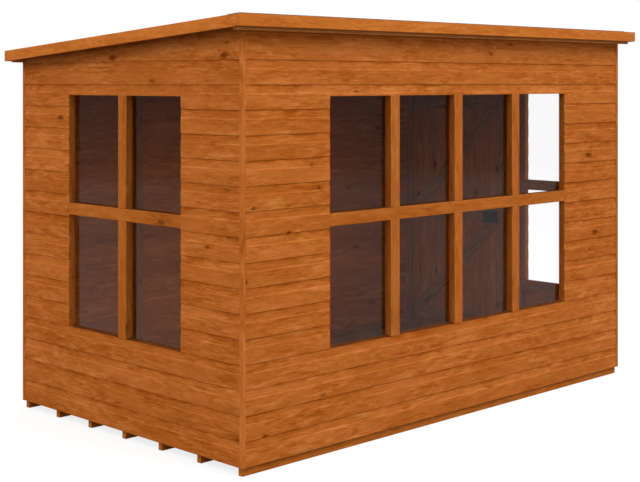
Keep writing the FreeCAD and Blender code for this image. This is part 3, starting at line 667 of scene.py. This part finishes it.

# %% [markdown]
# ## Shiplap boards
#
# The walls are shiplap: the upper 43 mm of each board are hollowed out by up to 3 mm, and the foot of the
# next board laps over them. That makes the dark line between boards, which is deepened with painted shade,
# and a fine bright streak lower down, where a short slope leads from the flat face into the hollow and
# catches the sky, brightened further with a painted highlight. So one section is drawn in millimetres, from
# the front of the foot round to the back, and extruded along the wall.

# %% The section of a board
COVER = 113 * MM
BOARD = 12 * MM
SECOND_FOOT = 154 * MM
FIRST_FOOT = SECOND_FOOT - COVER
WALL_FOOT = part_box("front_cladding")[0].z
HOLLOW_DEEP = 2.2
HOLLOW_HIGH = 43.0
SLOPE_HIGH = 6.5
TONGUE = 6.0
# The height of the upper hollow, which is also the band of painted shade in the groove.
UPPER_HOLLOW_HIGH = 17.0
# The mark of the painted highlight on the slope's faces.
STREAK_HIGHLIGHT = 0.2
# The mark of painted shade at the top of the groove, fading to nothing lower down.
GROOVE_SHADE = -1.0
TOP = COVER / MM
LIP, SLOPE_TOP = TOP - HOLLOW_HIGH, TOP - HOLLOW_HIGH + SLOPE_HIGH
# Corners as (depth, height) in millimetres: foot, face, hollow, tongue, back and groove.
SECTION = [
    (2.8, 0.0), (2.2, 0.0), (1.1, 0.4), (0.4, 1.4), (0.0, 3.4),
    (0.0, LIP), (0.3, LIP + 1.4), (1.4, SLOPE_TOP - 1.4), (1.7, SLOPE_TOP),
    (HOLLOW_DEEP, TOP - UPPER_HOLLOW_HIGH), (2.4, TOP - 9), (2.7, TOP - 4), (3.0, TOP),
    (3.8, TOP + TONGUE - 1), (4.4, TOP + TONGUE), (10.8, TOP + TONGUE), (11.4, TOP + TONGUE - 1),
    (11.4, TOP + 1.2), (12.0, TOP - 0.6), (12.0, TONGUE + 1.8),
    (11.2, TONGUE + 0.6), (3.6, TONGUE + 0.6),
]
print("section of", len(SECTION), "corners")

# %% [markdown]
# A wall is made in its own coordinates, X along it, Y into it and Z up. Full-length boards are laid first,
# and the lowest has a longer foot. Windows, the doorway and the slope of the roof are then taken out with one
# Boolean cut. The boards that it parts become loose parts, so each gets a tone and a grain of its own.


# %% Boards of a wall
def lay_boards(bm, start, end, height):
    """Full-length boards from the foot of the wall to above its top, one foot above the other."""
    arris = arris_layer(bm)
    foot = FIRST_FOOT
    while foot < height:
        verts = []
        for depth, level in SECTION:
            up = foot + level * MM
            if up < FIRST_FOOT + 2 * MM:
                up += WALL_FOOT - FIRST_FOOT
            verts.append(bm.verts.new((start, depth * MM, up)))
        end_face = bm.faces.new(verts)
        moved = bmesh.ops.extrude_face_region(bm, geom=[end_face])["geom"]
        far_end = [v for v in moved if isinstance(v, bmesh.types.BMVert)]
        bmesh.ops.translate(bm, vec=(end - start, 0, 0), verts=far_end)
        foot += COVER
    bmesh.ops.recalc_face_normals(bm, faces=bm.faces)
    for face in bm.faces:
        middle = face.calc_center_median()
        up = ((middle.z - SECOND_FOOT) / MM) % (COVER / MM)
        below_lap = COVER / MM - up
        if face.normal.y > -0.3 or middle.y > 0.5 * BOARD:
            continue
        # The slope's faces get a painted highlight, and the upper hollow painted shade that fades downwards.
        if HOLLOW_HIGH - SLOPE_HIGH < below_lap < HOLLOW_HIGH:
            face[arris] = STREAK_HIGHLIGHT
        elif below_lap < UPPER_HOLLOW_HIGH:
            face[arris] = GROOVE_SHADE * (1 - below_lap / UPPER_HOLLOW_HIGH)


def boolean_cut(bm, cutter):
    """Take the cutter's boxes out of a mesh, with Blender's exact Boolean."""
    pair = []
    for name, part in (("work", bm), ("cutter", cutter)):
        mesh = bpy.data.meshes.new(name)
        part.to_mesh(mesh)
        pair.append(new_object(name, mesh))
    work, tool = pair
    change = work.modifiers.new("cut", "BOOLEAN")
    change.operation = "DIFFERENCE"
    change.solver = "EXACT"
    change.object = tool
    bpy.context.view_layer.update()
    cut = bpy.data.meshes.new_from_object(work.evaluated_get(bpy.context.evaluated_depsgraph_get()))
    bm.clear()
    bm.from_mesh(cut)
    cutter.free()
    for item in pair:
        mesh = item.data
        bpy.data.objects.remove(item)
        bpy.data.meshes.remove(mesh)
    bpy.data.meshes.remove(cut)


print("boards of", round(COVER / MM), "mm cover")

# %% [markdown]
# The walls end under the roof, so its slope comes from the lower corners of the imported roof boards.

# %% The slope of the roof
deck_points = [v.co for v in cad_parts["roof_deck"].data.vertices]
deck_low, deck_high = box_of(deck_points)
front_under = min(p.z for p in deck_points if p.y < deck_low.y + MM)
back_under = min(p.z for p in deck_points if p.y > deck_high.y - MM)
FALL = (front_under - back_under) / (deck_high.y - deck_low.y)


def under_roof(y):
    """Height of the underside of the roof boards at a place from front to back."""
    return front_under - FALL * (y - deck_low.y)


print("the roof falls", round(FALL * 100, 2), "cm in each metre")

# %% [markdown]
# The boards run right up to each window's opening and hide the edge of its lining. So a wall is cut at its
# window's daylight, down to the front of the splayed sill, and the lining goes in behind.

# %% Walls
LINING_FACE = 20 * MM
SPLAY = 7 * MM
PAST_WALL = 0.05
ABOVE_ALL = 3.0


def opening(node, reach=Vector()):
    """A window's daylight down to the front of its sill, made deep enough to pass through its wall."""
    low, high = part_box(node)
    return low - reach - Vector((0, 0, SPLAY)), high + reach


def wall_boards(wall, turn, face, ends, openings, nodes=()):
    """Boards on one wall, turned into place, then cut round its openings and to the roof."""
    bm = bmesh.new()
    lay_boards(bm, *ends, under_roof(-1.0))
    place = Matrix.Translation(face) @ Matrix.Rotation(math.radians(turn), 4, "Z")
    bmesh.ops.transform(bm, matrix=place, verts=bm.verts)
    cutter = bmesh.new()
    for low, high in openings:
        plank(cutter, low, high)
    for vert in plank(cutter, (-2, -1.5, 0), (2, 1.5, ABOVE_ALL)):
        if vert.co.z < 1:
            vert.co.z = under_roof(vert.co.y)
    boolean_cut(bm, cutter)
    mark(bm, along=0 if turn % 180 == 0 else 1)
    return finish_piece(bm, f"{wall}_boards", "stained_boards", "shed", nodes or (f"{wall}_cladding",))


THROUGH_Y = Vector((-LINING_FACE, PAST_WALL, -LINING_FACE))
THROUGH_X = Vector((PAST_WALL, -LINING_FACE, -LINING_FACE))
front_low, front_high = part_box("front_cladding")
back_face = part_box("back_cladding")[1].y
left_low, left_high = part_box("left_cladding")
near_low, near_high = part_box("right_cladding_front")
far_low, far_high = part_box("right_cladding_back")
door_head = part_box("right_cladding_over_door")[0].z
doorway = (
    Vector((near_low.x - PAST_WALL, near_high.y, 0)),
    Vector((near_high.x + PAST_WALL, far_low.y, door_head)),
)

front_openings = [opening("front_window_lining", THROUGH_Y)]
left_openings = [opening("left_window_lining", THROUGH_X)]
right_openings = [opening("right_window_lining", THROUGH_X), doorway]
right_nodes = ("right_cladding_front", "right_cladding_back", "right_cladding_over_door")
wall_boards("front", 0, (0, front_low.y, 0), (front_low.x, front_high.x), front_openings)
wall_boards("back", 180, (0, back_face, 0), (front_low.x, front_high.x), [])
wall_boards("left", -90, (left_low.x, 0, 0), (left_low.y, left_high.y), left_openings)
wall_boards("right", 90, (near_high.x, 0, 0), (near_low.y, far_high.y), right_openings, right_nodes)

# %% [markdown]
# ## Nails
#
# Each board is nailed once to each stud it crosses, a little above its foot. The heads are driven just under
# the stain, so they show as small dull domes. One short cone with eight sides stands for each, because
# hundreds of them would cost too many faces otherwise.


# %% Nail heads
NAIL_HEAD = 2.6 * MM
NAIL_PROUD = 0.5 * MM
NAIL_ABOVE_FOOT = 28 * MM
NAIL_BELOW_ROOF = 30 * MM
PAST_STUD_END = 80 * MM
BESIDE_OPENING = 2 * MM
STRAY_SIDE, STRAY_UP = 4 * MM, 3 * MM
RUST = (300, 300, 300)
RUST_PALE, RUST_DARK = (0.2, 0.055, 0.012, 1), (0.09, 0.03, 0.012, 1)


def facing(at, out):
    """The placing of a head that looks out along a direction."""
    return Matrix.Translation(at) @ Vector(out).to_track_quat("Z", "Y").to_matrix().to_4x4()


def dome(bm, at, out, radius, proud, sides=8):
    """A low round head on a face, out of it along a direction."""
    bmesh.ops.create_cone(
        bm, cap_ends=True, segments=sides, radius1=radius, radius2=radius * 0.55, depth=2 * proud,
        matrix=facing(at, out),
    )


def nail_wall(wall, axis, face, out, openings):
    """A nail wherever a board of one wall crosses a stud."""
    bm = bmesh.new()
    for low, high in solids_of(f"{wall}_studs"):
        middle = (low + high) / 2
        level = FIRST_FOOT + NAIL_ABOVE_FOOT
        while level < under_roof(middle.y) - NAIL_BELOW_ROOF:
            at = middle.copy()
            at[1 - axis] = face
            at.z = level
            inside = any(
                a[axis] - BESIDE_OPENING < at[axis] < b[axis] + BESIDE_OPENING and a.z < level < b.z
                for a, b in openings
            )
            if low.z - PAST_STUD_END < level < high.z + PAST_STUD_END and not inside:
                at[axis] += chance.uniform(-STRAY_SIDE, STRAY_SIDE)
                at.z += chance.uniform(-STRAY_UP, STRAY_UP)
                dome(bm, at, out, NAIL_HEAD, NAIL_PROUD)
            level += COVER
    return finish_piece(bm, f"{wall}_nails", "stained_boards", "shed", material=nail_paint)


nail_paint, tree, shader, _ = new_material("nail_heads", Roughness=0.6)
rust = noise(tree, add(tree, "TexCoord").outputs["Object"], RUST)
paint(tree, shader, rust, RUST_PALE, RUST_DARK)
nail_wall("front", 0, front_low.y, (0, -1, 0), [opening("front_window_lining")])
nail_wall("back", 0, back_face, (0, 1, 0), [])
nail_wall("left", 1, left_low.x, (-1, 0, 0), [opening("left_window_lining")])
nail_wall("right", 1, near_high.x, (1, 0, 0), [opening("right_window_lining"), doorway])

# %% [markdown]
# ## Squared timbers
#
# Fascias, corner strips, studs, rails, bearers and window bars are squared timbers, and the imported model
# already has their true shape, with the slopes and the halved joints. A copy of each is welded, rounded at
# its arrises and marked, which gives it a highlight along every edge and grain along its own length.
#
# The sills slope outwards, so the mullions' feet are carried down to them. The upward faces of bars, beads
# and sills are marked for painted shade, which makes them darker.

# %% Copies of the squared timbers
TIMBERS = {
    "corner_strips": ("corner_strip_timbers", 1.0),
    "front_fascia": ("front_fascia_board", 1.5),
    "back_fascia": ("back_fascia_board", 1.5),
    "side_fascias": ("side_fascia_boards", 1.5),
    "roof_battens": ("eaves_and_purlins", 1.5),
}
for wall in ("front", "back", "left", "right"):
    for part in ("rail", "stud"):
        TIMBERS[f"{wall}_{part}s"] = (f"{wall}_{part}_timbers", 1.5)
TIMBERS |= {
    "floor_bearers": ("bearer_timbers", 1.5),
    "front_window_mullions": ("front_mullion_timbers", 2.5),
    "front_window_rail": ("front_bar_timber", 2.5),
    "left_window_mullions": ("left_mullion_timber", 2.5),
    "left_window_rail": ("left_bar_timber", 2.5),
    "right_window_rail": ("right_bar_timber", 2.5),
    "door_ledges": ("door_ledge_timbers", 3.0),
}
TRIM = ("fascia", "window", "strips", "bearers")
# Pieces that look unlike the rest of their slot. The eaves battens get paler colours, painted light on
# battens that the fascia shades.
OWN_FINISH = {"fascia": "fascia_trim", "battens": "eaves_battens_painted_light", "strips": "stained_boards"}
# The corner strips' rounded edges are painted a little darker, as shade, and not paler like other edges.
STRIP_EDGE_SHADE = -0.1


def lower_feet(bm, node):
    """Carry the outer half of the mullions' feet down to the splayed sill."""
    low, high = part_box(node)
    away = 1 if node.startswith("front") else 0
    for vert in bm.verts:
        if vert.co.z < low.z + MM and vert.co[away] < low[away] + MM:
            vert.co.z -= SPLAY


def shade_tops(bm, chosen=lambda centre: True):
    """Mark the faces that look up for painted shade, or those of them whose centre is chosen."""
    bm.normal_update()
    arris = arris_layer(bm)
    for face in bm.faces:
        if face.normal.z > 0.5 and chosen(face.calc_center_median()):
            face[arris] = TOP_SHADE


for node, (name, radius) in TIMBERS.items():
    bm = copy_of(node)
    if "mullions" in node:
        lower_feet(bm, node)
    round_arrises(bm, radius * MM, wear_and_painted_light=STRIP_EDGE_SHADE if node == "corner_strips" else 1.0)
    # The upward faces of the window rails are painted in shade.
    if "window_rail" in node:
        shade_tops(bm)
    mark(bm)
    slot = "stained_trim" if any(word in node for word in TRIM) else "frame_timber"
    material = next((FINISHES[finish] for word, finish in OWN_FINISH.items() if word in node), None)
    finish_piece(bm, name, slot, "door" if node.startswith("door") else "shed", (node,), material)

# %% [markdown]
# A brace slants, so neither X, Y nor Z is its grain. It is turned upright for the marking and back
# afterwards. Glazing beads are rings of four mitred strips, so they take their grain face by face.

# %% Braces and beads
bm = copy_of("door_braces")
round_arrises(bm, 3 * MM)
low, high = box_of([v.co for v in loose_parts(bm)[-1]])
lean = Matrix.Rotation(math.atan2(low.y - high.y, high.z - low.z), 3, "X")
bmesh.ops.rotate(bm, cent=(0, 0, 0), matrix=lean, verts=bm.verts)
mark(bm, along=2)
bmesh.ops.rotate(bm, cent=(0, 0, 0), matrix=lean.inverted(), verts=bm.verts)
finish_piece(bm, "door_brace_timbers", "frame_timber", "door", ("door_braces",))

for wall in ("front", "left", "right"):
    bm = copy_of(f"{wall}_window_beads")
    round_arrises(bm, 1 * MM, segments=1)
    # The upward faces of the beads are painted in shade.
    shade_tops(bm)
    mark(bm, by_face=True)
    finish_piece(bm, f"{wall}_glazing_beads", "stained_trim", "shed", (f"{wall}_window_beads",))

# %% [markdown]
# ## Window linings
#
# A lining is four planks: two stiles that run the full height, with the head and the sill between them. Made
# as four timbers, their joints show as they do on the real window. They start behind the boards, a hair away
# from them. A rebate behind the face takes the glass and its beads, so each pane's box, a little larger all
# round, is cut out of the planks right through to the inside. In front of the glass the sill is splayed.


# %% Linings
REBATE = 7 * MM
GLASS_PLAY = 1 * MM
HAIR = 0.1 * MM
LINING_ARRIS = 2 * MM
PAST_INSIDE = 10 * MM


def lining(wall, axis):
    """Four planks round a window that looks along the other axis."""
    low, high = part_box(f"{wall}_window_lining")
    panes = solids_of(f"{wall}_window_glass")
    face = min(box[0][axis] for box in panes) + REBATE - low[axis]
    assert abs(face - LINING_FACE) < MM
    away = 1 - axis
    outwards = -1 if low[away] + high[away] < 0 else 1
    outer, inner = (low, high) if outwards < 0 else (high, low)
    outer[away] -= outwards * (BOARD + HAIR)
    bm = bmesh.new()
    for across, inset in ((axis, 0), (2, face + HAIR)):
        for start, end in ((low[across], low[across] + face), (high[across] - face, high[across])):
            a, b = low.copy(), high.copy()
            a[axis], b[axis] = low[axis] + inset, high[axis] - inset
            a[across], b[across] = start, end
            plank(bm, a, b, LINING_ARRIS)
    glass_face = panes[0][0][away] if outwards < 0 else panes[0][1][away]
    sill_top = low.z + face
    ends = low[axis] + face, high[axis] - face
    sill = [v for v in bm.verts if v.co.z < sill_top + MM and ends[0] < v.co[axis] < ends[1]]
    edges = {e for v in sill for e in v.link_edges}
    faces = {f for v in sill for f in v.link_faces}
    line, normal = Vector((0, 0, 0)), Vector((0, 0, 0))
    line[away], normal[away] = glass_face, 1
    bmesh.ops.bisect_plane(bm, geom=[*sill, *edges, *faces], dist=0.01 * MM, plane_co=line, plane_no=normal)
    for vert in bm.verts:
        on_sill = sill_top - 3 * MM < vert.co.z < sill_top + MM
        if on_sill and (vert.co[away] - glass_face) * outwards > MM:
            vert.co.z -= SPLAY
    # The sill's top in front of the glass is painted in shade.
    shade_tops(bm, lambda at: at.z < sill_top + MM and (at[away] - glass_face) * outwards > 0)
    cutter = bmesh.new()
    for a, b in panes:
        a, b = a - Vector((GLASS_PLAY,) * 3), b + Vector((GLASS_PLAY,) * 3)
        front, back = (a, b) if outwards < 0 else (b, a)
        front[away] -= outwards * GLASS_PLAY
        back[away] = inner[away] - outwards * PAST_INSIDE
        plank(cutter, a, b)
    boolean_cut(bm, cutter)
    mark(bm)
    return finish_piece(bm, f"{wall}_lining_timbers", "stained_trim", "shed", (f"{wall}_window_lining",))


for wall, axis in (("front", 0), ("left", 1), ("right", 1)):
    lining(wall, axis)
    repaint(f"{wall}_window_glass", glass)

# %% [markdown]
# ## Floor, roof boards and felt
#
# The floor and the roof are tongued and grooved boards that run from front to back. A plank with eased
# arrises stands for each, a fraction of a millimetre from its neighbour, so the joints read as fine V lines.
# The roof boards follow the slope.


# %% Floor and roof boards
BOARD_GAP = 0.1 * MM
FLAT_ARRIS = 1.2 * MM


def row_of_boards(name, node, slot, body, axis, along, arris):
    """Boards side by side along an axis that fill a packed sheet."""
    low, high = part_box(node)
    sloping = node == "roof_deck"
    if sloping:
        low.z, high.z = 0, BOARD
    count = round((high[axis] - low[axis]) / COVER)
    width = (high[axis] - low[axis]) / count
    bm = bmesh.new()
    for index in range(count):
        a, b = low.copy(), high.copy()
        a[axis] = low[axis] + index * width + BOARD_GAP
        b[axis] = low[axis] + (index + 1) * width - BOARD_GAP
        plank(bm, a, b, arris)
    if sloping:
        for vert in bm.verts:
            vert.co.z += under_roof(vert.co.y)
    mark(bm, along=along)
    return finish_piece(bm, name, slot, body, (node,))


row_of_boards("floor_boards", "floor_deck", "floor_timber", "shed", 0, 1, FLAT_ARRIS)
row_of_boards("roof_board_timbers", "roof_deck", "roof_boards", "shed", 0, 1, FLAT_ARRIS)

# %% [markdown]
# The felt comes off a roll, so two lengths run along the shed, and the upper one laps over the lower one past
# the middle. The lower one is drawn under the whole roof, since its hidden part doesn't show. A narrow strip
# covers the front edge up to near the right end. Felt never lies quite flat, so each sheet ripples by less
# than a millimetre, and less still towards its edges. Flat-headed clouts hold the lap and the front edge.

# %% Felt
felt_low, felt_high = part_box("roof_felt")
fascia_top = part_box("front_fascia")[1].z
EDGE_THICK = felt_high.z - fascia_top
UNDER_THICK, UPPER_THICK = 2.5 * MM, 2.0 * MM
LAP_AT = 0.05
UPPER_START = 4 * MM
EDGE_WIDE = 83 * MM
EDGE_SHORT = 118 * MM
STEPS_ALONG, STEPS_ACROSS = 60, 24
RIPPLE = 0.9 * MM
CALM_EDGE = 120 * MM


def over_roof(y):
    """Height of the tops of the fascias, and of the main sheet of felt."""
    return fascia_top - FALL * (y - felt_low.y)


def felt_sheet(bm, low, high, lift, thick):
    """A sheet with fine ripples, laid at so much above the fascia tops."""
    made = bmesh.ops.create_grid(bm, x_segments=STEPS_ALONG, y_segments=STEPS_ACROSS, size=0.5)["verts"]
    faces = list({f for v in made for f in v.link_faces})
    for vert in made:
        x = low[0] + (vert.co.x + 0.5) * (high[0] - low[0])
        y = low[1] + (vert.co.y + 0.5) * (high[1] - low[1])
        edge = min(x - low[0], high[0] - x, y - low[1], high[1] - y)
        wave = RIPPLE * math.sin(x * 17 + 3 * math.sin(y * 5))
        vert.co = (x, y, over_roof(y) + lift + wave * min(1, max(edge, 0) / CALM_EDGE))
    bmesh.ops.recalc_face_normals(bm, faces=faces)
    bmesh.ops.solidify(bm, geom=faces, thickness=thick)


inner_low, inner_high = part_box("roof_deck")
edge_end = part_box("side_fascias")[1].x - EDGE_SHORT
edge_back = felt_low.y + EDGE_WIDE
bm = bmesh.new()
felt_sheet(bm, inner_low[:2], inner_high[:2], 0.0, UNDER_THICK)
felt_sheet(bm, (inner_low.x, inner_low.y + UPPER_START), (inner_high.x, LAP_AT), UPPER_THICK, UPPER_THICK)
felt_sheet(bm, felt_low[:2], (edge_end, edge_back), EDGE_THICK, EDGE_THICK - 0.2 * MM)
sheets = finish_piece(bm, "felt_sheets", "roof_felt", "shed", ("roof_felt",))
for face in sheets.data.polygons:
    face.use_smooth = False

CLOUTS = 58
CLOUT_HEAD = 5 * MM
CLOUT_PROUD = 0.8 * MM
FROM_END = 40 * MM
STRAY = 2 * MM
# How far front to back a row of clouts lies, on what, and where it ends.
CLOUT_ROWS = (
    (LAP_AT - 0.02, 2.3 * MM, felt_high.x),
    (edge_back - 0.015, EDGE_THICK, edge_end - 12 * MM),
)

bm = bmesh.new()
for y, lift, row_end in CLOUT_ROWS:
    for step in range(CLOUTS):
        x = inner_low.x + FROM_END + step * (inner_high.x - inner_low.x - 2 * FROM_END) / (CLOUTS - 1)
        if x > row_end:
            continue
        at = (x, y + chance.uniform(-STRAY, STRAY), over_roof(y) + lift)
        dome(bm, at, (0, 0, 1), CLOUT_HEAD, CLOUT_PROUD, 10)
finish_piece(bm, "felt_clouts", "roof_felt", "shed", material=zinc)

# %% [markdown]
# ## Door
#
# The door is seven upright tongued boards with V joints, held by the ledges and braces inside. It rides on
# the door's body, and so do its ledges, straps, screws, lock and handle.

# %% Door boards
V_JOINT = 2.5 * MM

door_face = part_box("door_boards")[1].x
row_of_boards("door_board_timbers", "door_boards", "stained_boards", "door", 1, 2, V_JOINT)

# %% [markdown]
# ## Ironwork
#
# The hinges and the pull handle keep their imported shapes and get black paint. Their screws are round heads
# with a slot, each turned as the screwdriver left it, and ride on the door or stay on the wall like the iron
# they hold.

# %% Screws
IRON_THICK = 2.5 * MM
SCREW_HEAD, SMALL_HEAD = 4 * MM, 3.2 * MM
STRAP_SCREWS = (0.05, 0.12, 0.2, 0.28)
PLATE_SCREWS = (0.14, 0.38, 0.62, 0.86)


def screw(bm, at, out, radius):
    """A round head with a slot, standing on a face."""
    spin = Matrix.Rotation(chance.uniform(0, math.pi), 4, "Z")
    head = bmesh.ops.create_uvsphere(bm, u_segments=14, v_segments=8, radius=radius)["verts"]
    bmesh.ops.scale(bm, vec=(1, 1, 0.45), verts=head)
    for vert in head:
        if abs(vert.co.y) < radius * 0.24 and vert.co.z > radius * 0.3:
            vert.co.z = radius * 0.2
    bmesh.ops.transform(bm, matrix=facing(at, out) @ spin, verts=head)


for node in ("door_hinge_straps", "door_hinge_plates", "door_lock_keep", "door_handle"):
    repaint(node, iron)

strap_screws, plate_screws, handle_screws = bmesh.new(), bmesh.new(), bmesh.new()
for low, high in solids_of("door_hinge_straps"):
    middle = (low + high) / 2
    for run in STRAP_SCREWS:
        at = (door_face + IRON_THICK, high.y - 5 * MM - run, middle.z)
        screw(strap_screws, at, (1, 0, 0), SCREW_HEAD)
for low, high in solids_of("door_hinge_plates"):
    for share in PLATE_SCREWS:
        at = (near_high.x + IRON_THICK, high.y - 11 * MM, low.z + share * (high.z - low.z))
        screw(plate_screws, at, (1, 0, 0), SCREW_HEAD)
handle_low, handle_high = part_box("door_handle")
middle = (handle_low + handle_high) / 2
for z in (handle_low.z + 12 * MM, handle_high.z - 10 * MM):
    for side in (-14 * MM, 14 * MM):
        screw(handle_screws, (door_face + 3 * MM, middle.y + side, z), (1, 0, 0), SMALL_HEAD)
finish_piece(strap_screws, "strap_screws", "black_iron", "door")
finish_piece(plate_screws, "plate_screws", "black_iron", "shed")
finish_piece(handle_screws, "handle_screws", "black_iron", "door")

# %% [markdown]
# The rim lock is a folded steel case, so its edges are rounded. A screw sits in each corner, the key goes in
# through a round plate, and the drawn-back bolt shows at the edge.

# %% Rim lock
SCREW_INSET = 9 * MM
KEY_ASIDE = 14 * MM

lock_low, lock_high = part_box("door_lock")
middle = (lock_low + lock_high) / 2
bm = bmesh.new()
plank(bm, lock_low, lock_high, 3 * MM)
for y in (lock_low.y + SCREW_INSET, lock_high.y - SCREW_INSET):
    for z in (lock_low.z + SCREW_INSET, lock_high.z - SCREW_INSET):
        screw(bm, (lock_low.x, y, z), (-1, 0, 0), SMALL_HEAD)
to_face = Matrix.Rotation(math.radians(-90), 4, "Y")
bmesh.ops.create_cone(
    bm, cap_ends=True, segments=24, radius1=11 * MM, radius2=10 * MM, depth=2.4 * MM,
    matrix=Matrix.Translation((lock_low.x, middle.y + KEY_ASIDE, middle.z)) @ to_face,
)
plank(
    bm, (lock_low.x + 4 * MM, lock_low.y - 1.5 * MM, middle.z - 9 * MM),
    (lock_high.x - 3 * MM, lock_low.y + 1 * MM, middle.z + 9 * MM), 0.5 * MM,
)
finish_piece(bm, "rim_lock", "black_iron", "door", ("door_lock",))
